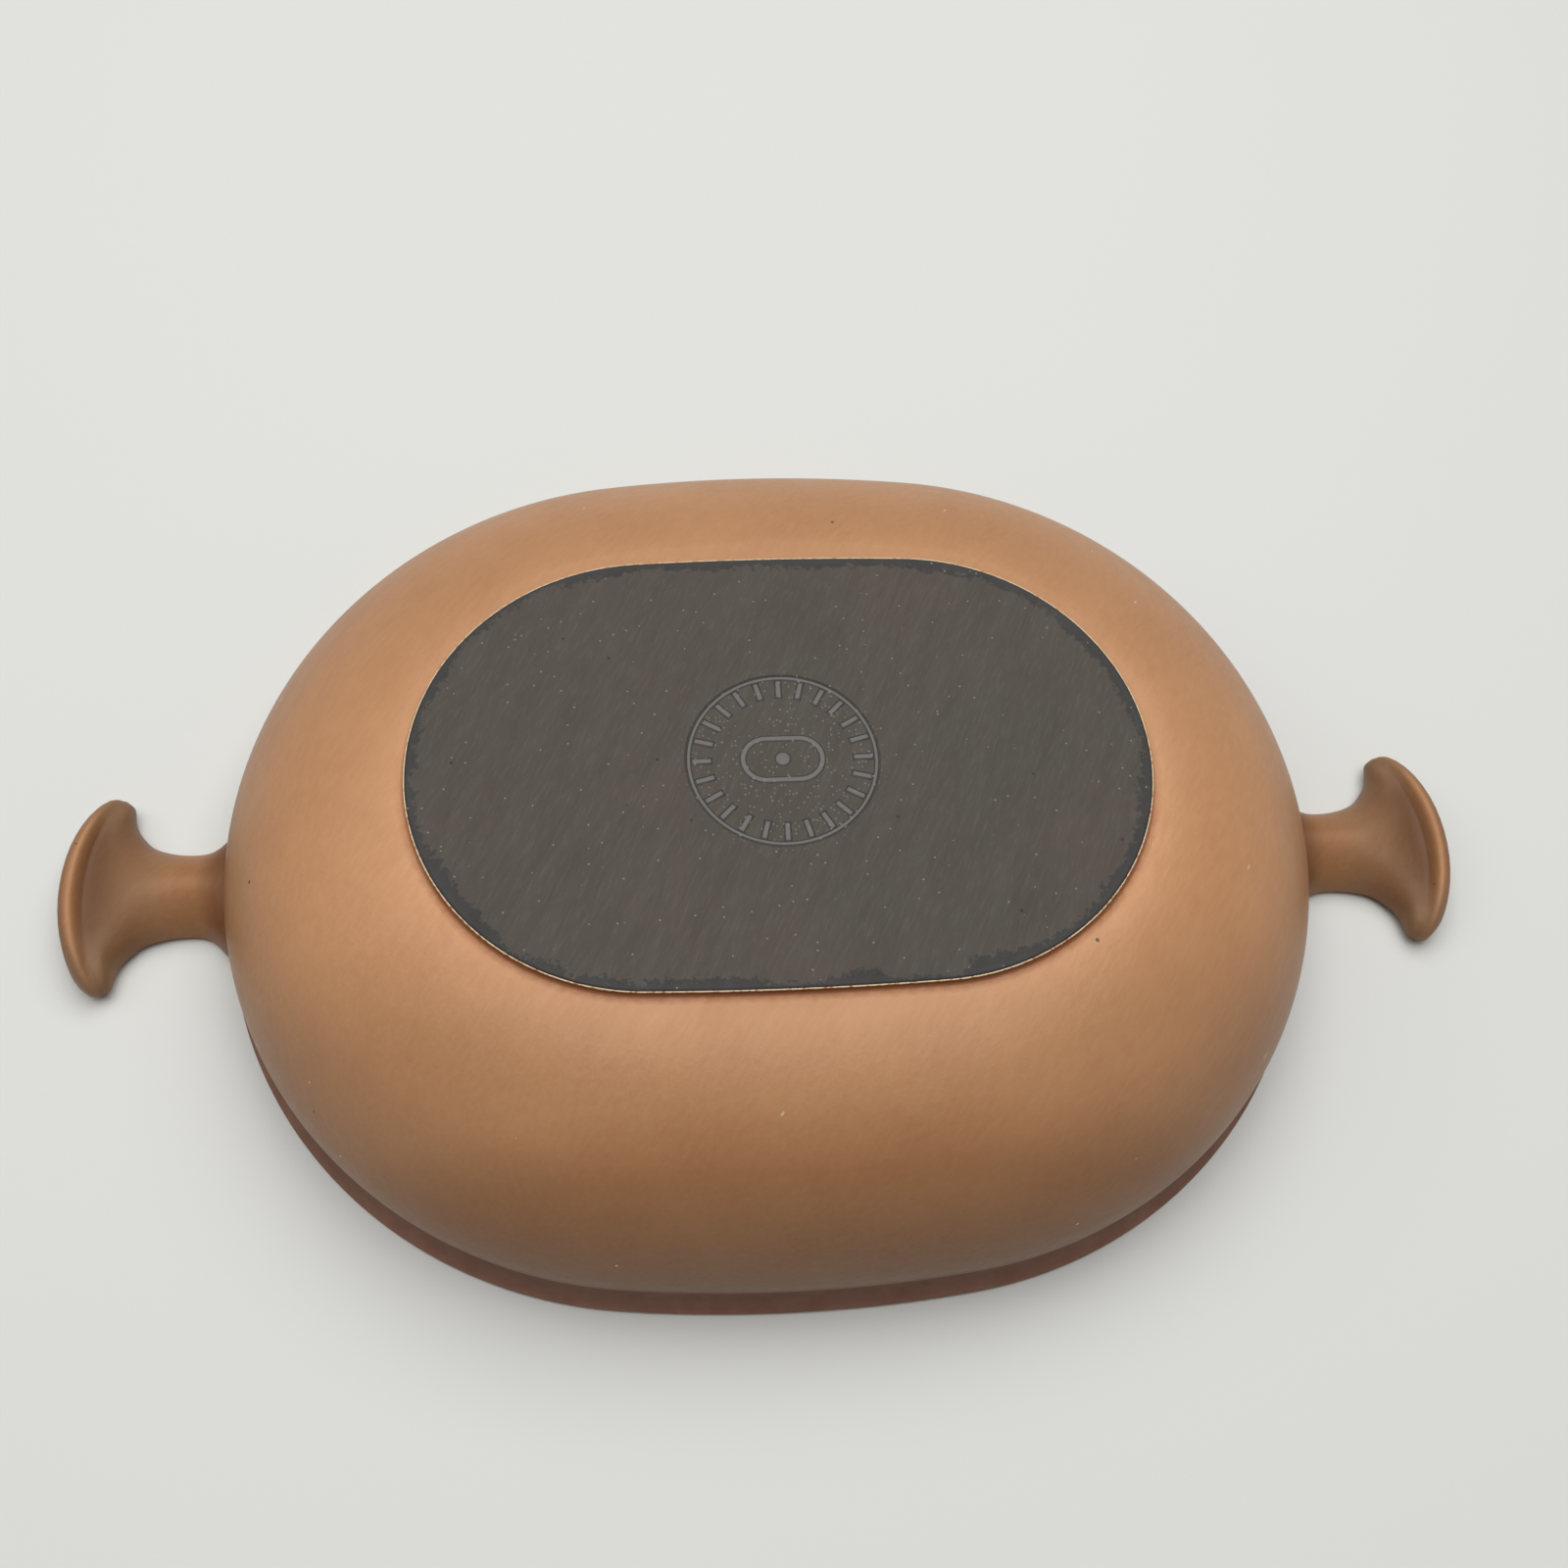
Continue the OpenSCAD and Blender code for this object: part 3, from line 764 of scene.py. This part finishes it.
def smooth_share(shares, s):
    """A smooth curve through a list of shares, at a place between two of them."""
    last = len(shares) - 1
    i = min(math.floor(s), last - 1)
    t = s - i
    a, b, c, d = shares[max(i - 1, 0)], shares[i], shares[i + 1], shares[min(i + 2, last)]
    return b + t*(c - a)/2 + t*t*(a - 2.5*b + 2*c - d/2) + t**3*(1.5*(b - c) + (d - a)/2)


def handle_point(ring, turn):
    """A point of the iron's skin, on a ring along the handle and at a turn round it."""
    s = max(0, min(ring, ring_count - 1))/rings_per_station
    spread = smooth_share(spread_shares, s)
    half_w = (stem_w + spread*(handle_span - stem_w))/2
    v = math.cos(turn)
    y = half_w*v
    square = stem_squareness + horn_squareness*spread
    lift = math.copysign(max(0, 1 - abs(v)**square)**(1/square), math.sin(turn))
    top = (valley_h + (root_top_h - valley_h)*smooth_share(top_shares, s)
           - horn_drop*smooth_share(droop_shares, s)*v*v)
    edge = stem_edge_h + (lip_edge_h - stem_edge_h)*smooth_share(edge_shares, s)
    under = stem_lift + (lip_lift - stem_lift)*smooth_share(under_shares, s)
    return Vector((end_x + end_r + handle_reach*smooth_share(along_shares, s)
                   - smooth_share(bend_shares, s)*y*y/(2*edge_curve_r), y,
                   edge + lift*(top - edge if lift > 0 else edge - under)))


def enamel_point(ring, turn):
    """The same point on the enamel, square to the iron's skin."""
    along = handle_point(ring + 1, turn) - handle_point(ring - 1, turn)
    around = handle_point(ring, turn + ring_step) - handle_point(ring, turn - ring_step)
    return handle_point(ring, turn) + coat_t*around.cross(along).normalized()


def build_handle(name, side, skin):
    """A closed handle in edit mode: a ring at the root, extruded ring by ring to its end."""
    handle = new_piece(name)
    drift = left_drift if side < 0 else 0
    bpy.ops.mesh.primitive_circle_add(vertices=ring_points, radius=0.01, fill_type="NGON")
    points = picked_points(handle)
    turns = [round(math.atan2(v.co.y, v.co.x)/ring_step)*ring_step for v in points]
    for ring in range(ring_count):
        if ring:
            # the new ring starts in the place of the last one, in another order
            turn_at = {tuple(v.co): turn for v, turn in zip(points, turns)}
            bpy.ops.mesh.extrude_region_move()
            points = picked_points(handle)
            turns = [turn_at[tuple(v.co)] for v in points]
        for vertex, turn in zip(points, turns):
            x, y, z = skin(ring, turn)
            vertex.co = (side*x/1000, (y - drift)/1000, z/1000)
    return handle


handle_enamel, tree, shader, place, colour = bronze_look("bronze_enamel_of_handles", 0.22)
axes = split_axes(tree, place)
# The painted shade and highlight follow the handle's curved edge, so they run along X plus the
# edge's bend.
y_squared = calculate(tree, "MULTIPLY", axes["Y"], axes["Y"])
along = calculate(tree, "MULTIPLY_ADD", y_squared, 1000/(2*edge_curve_r),
                  calculate(tree, "ABSOLUTE", axes["X"]))
ramp = add_node(tree, "ShaderNodeValToRGB")
tree.links.new(remap(tree, along, tint_from, tint_to), ramp.inputs["Fac"])
while len(ramp.color_ramp.elements) < len(handle_painted_light):
    ramp.color_ramp.elements.new(0.5)
for stop, (at, tint) in zip(ramp.color_ramp.elements, handle_painted_light):
    stop.position = at
    stop.color = tint
tint = blend_colours(tree, remap(tree, y_squared, horn_from, horn_to, 0, 0.75),
                     ramp.outputs["Color"], horn_painted_shade)
colour = blend_colours(tree, 1.0, colour, tint, "MULTIPLY")
colour = blend_colours(tree, speckle(tree, place, 300, 0.1, 0.04), colour, pit_colour)
tree.links.new(colour, shader.inputs["Base Color"])

for side, name in ((1, "right"), (-1, "left")):
    handle = build_handle("enamel_of_handle_" + name, side, enamel_point)
    close_piece(handle, replaces=["handle_enamel_" + name], angle=60)
    handle.data.materials.append(handle_enamel)
    core = build_handle("iron_of_handle_" + name, side, handle_point)
    close_piece(core, replaces=["handle_" + name], angle=60)


# Iron of the casting
# Grey iron as it leaves the sand, hidden under the coats on every side. Bowl, foot
# and handles are one casting on the real dish.
iron_dark, iron_light = (0.10, 0.095, 0.09, 1), (0.2, 0.19, 0.18, 1)
iron, tree, shader = new_material("cast_iron")
shader.inputs["Metallic"].default_value = 0.6
place = object_place(tree)
colour = blend_colours(tree, noise(tree, place, 300, 5), iron_dark, iron_light)
tree.links.new(colour, shader.inputs["Base Color"])
vary_roughness(tree, shader, place, 900, 3, 0.55, 0.8)
link_bump(tree, shader, [(noise(tree, place, 900, 5), 0.5, 0.0002)])
for piece in (frame["nodes"]["bowl_casting"], frame["nodes"]["foot_pad"],
              bpy.data.objects["iron_of_handle_left"], bpy.data.objects["iron_of_handle_right"]):
    piece.data.materials.clear()
    piece.data.materials.append(iron)
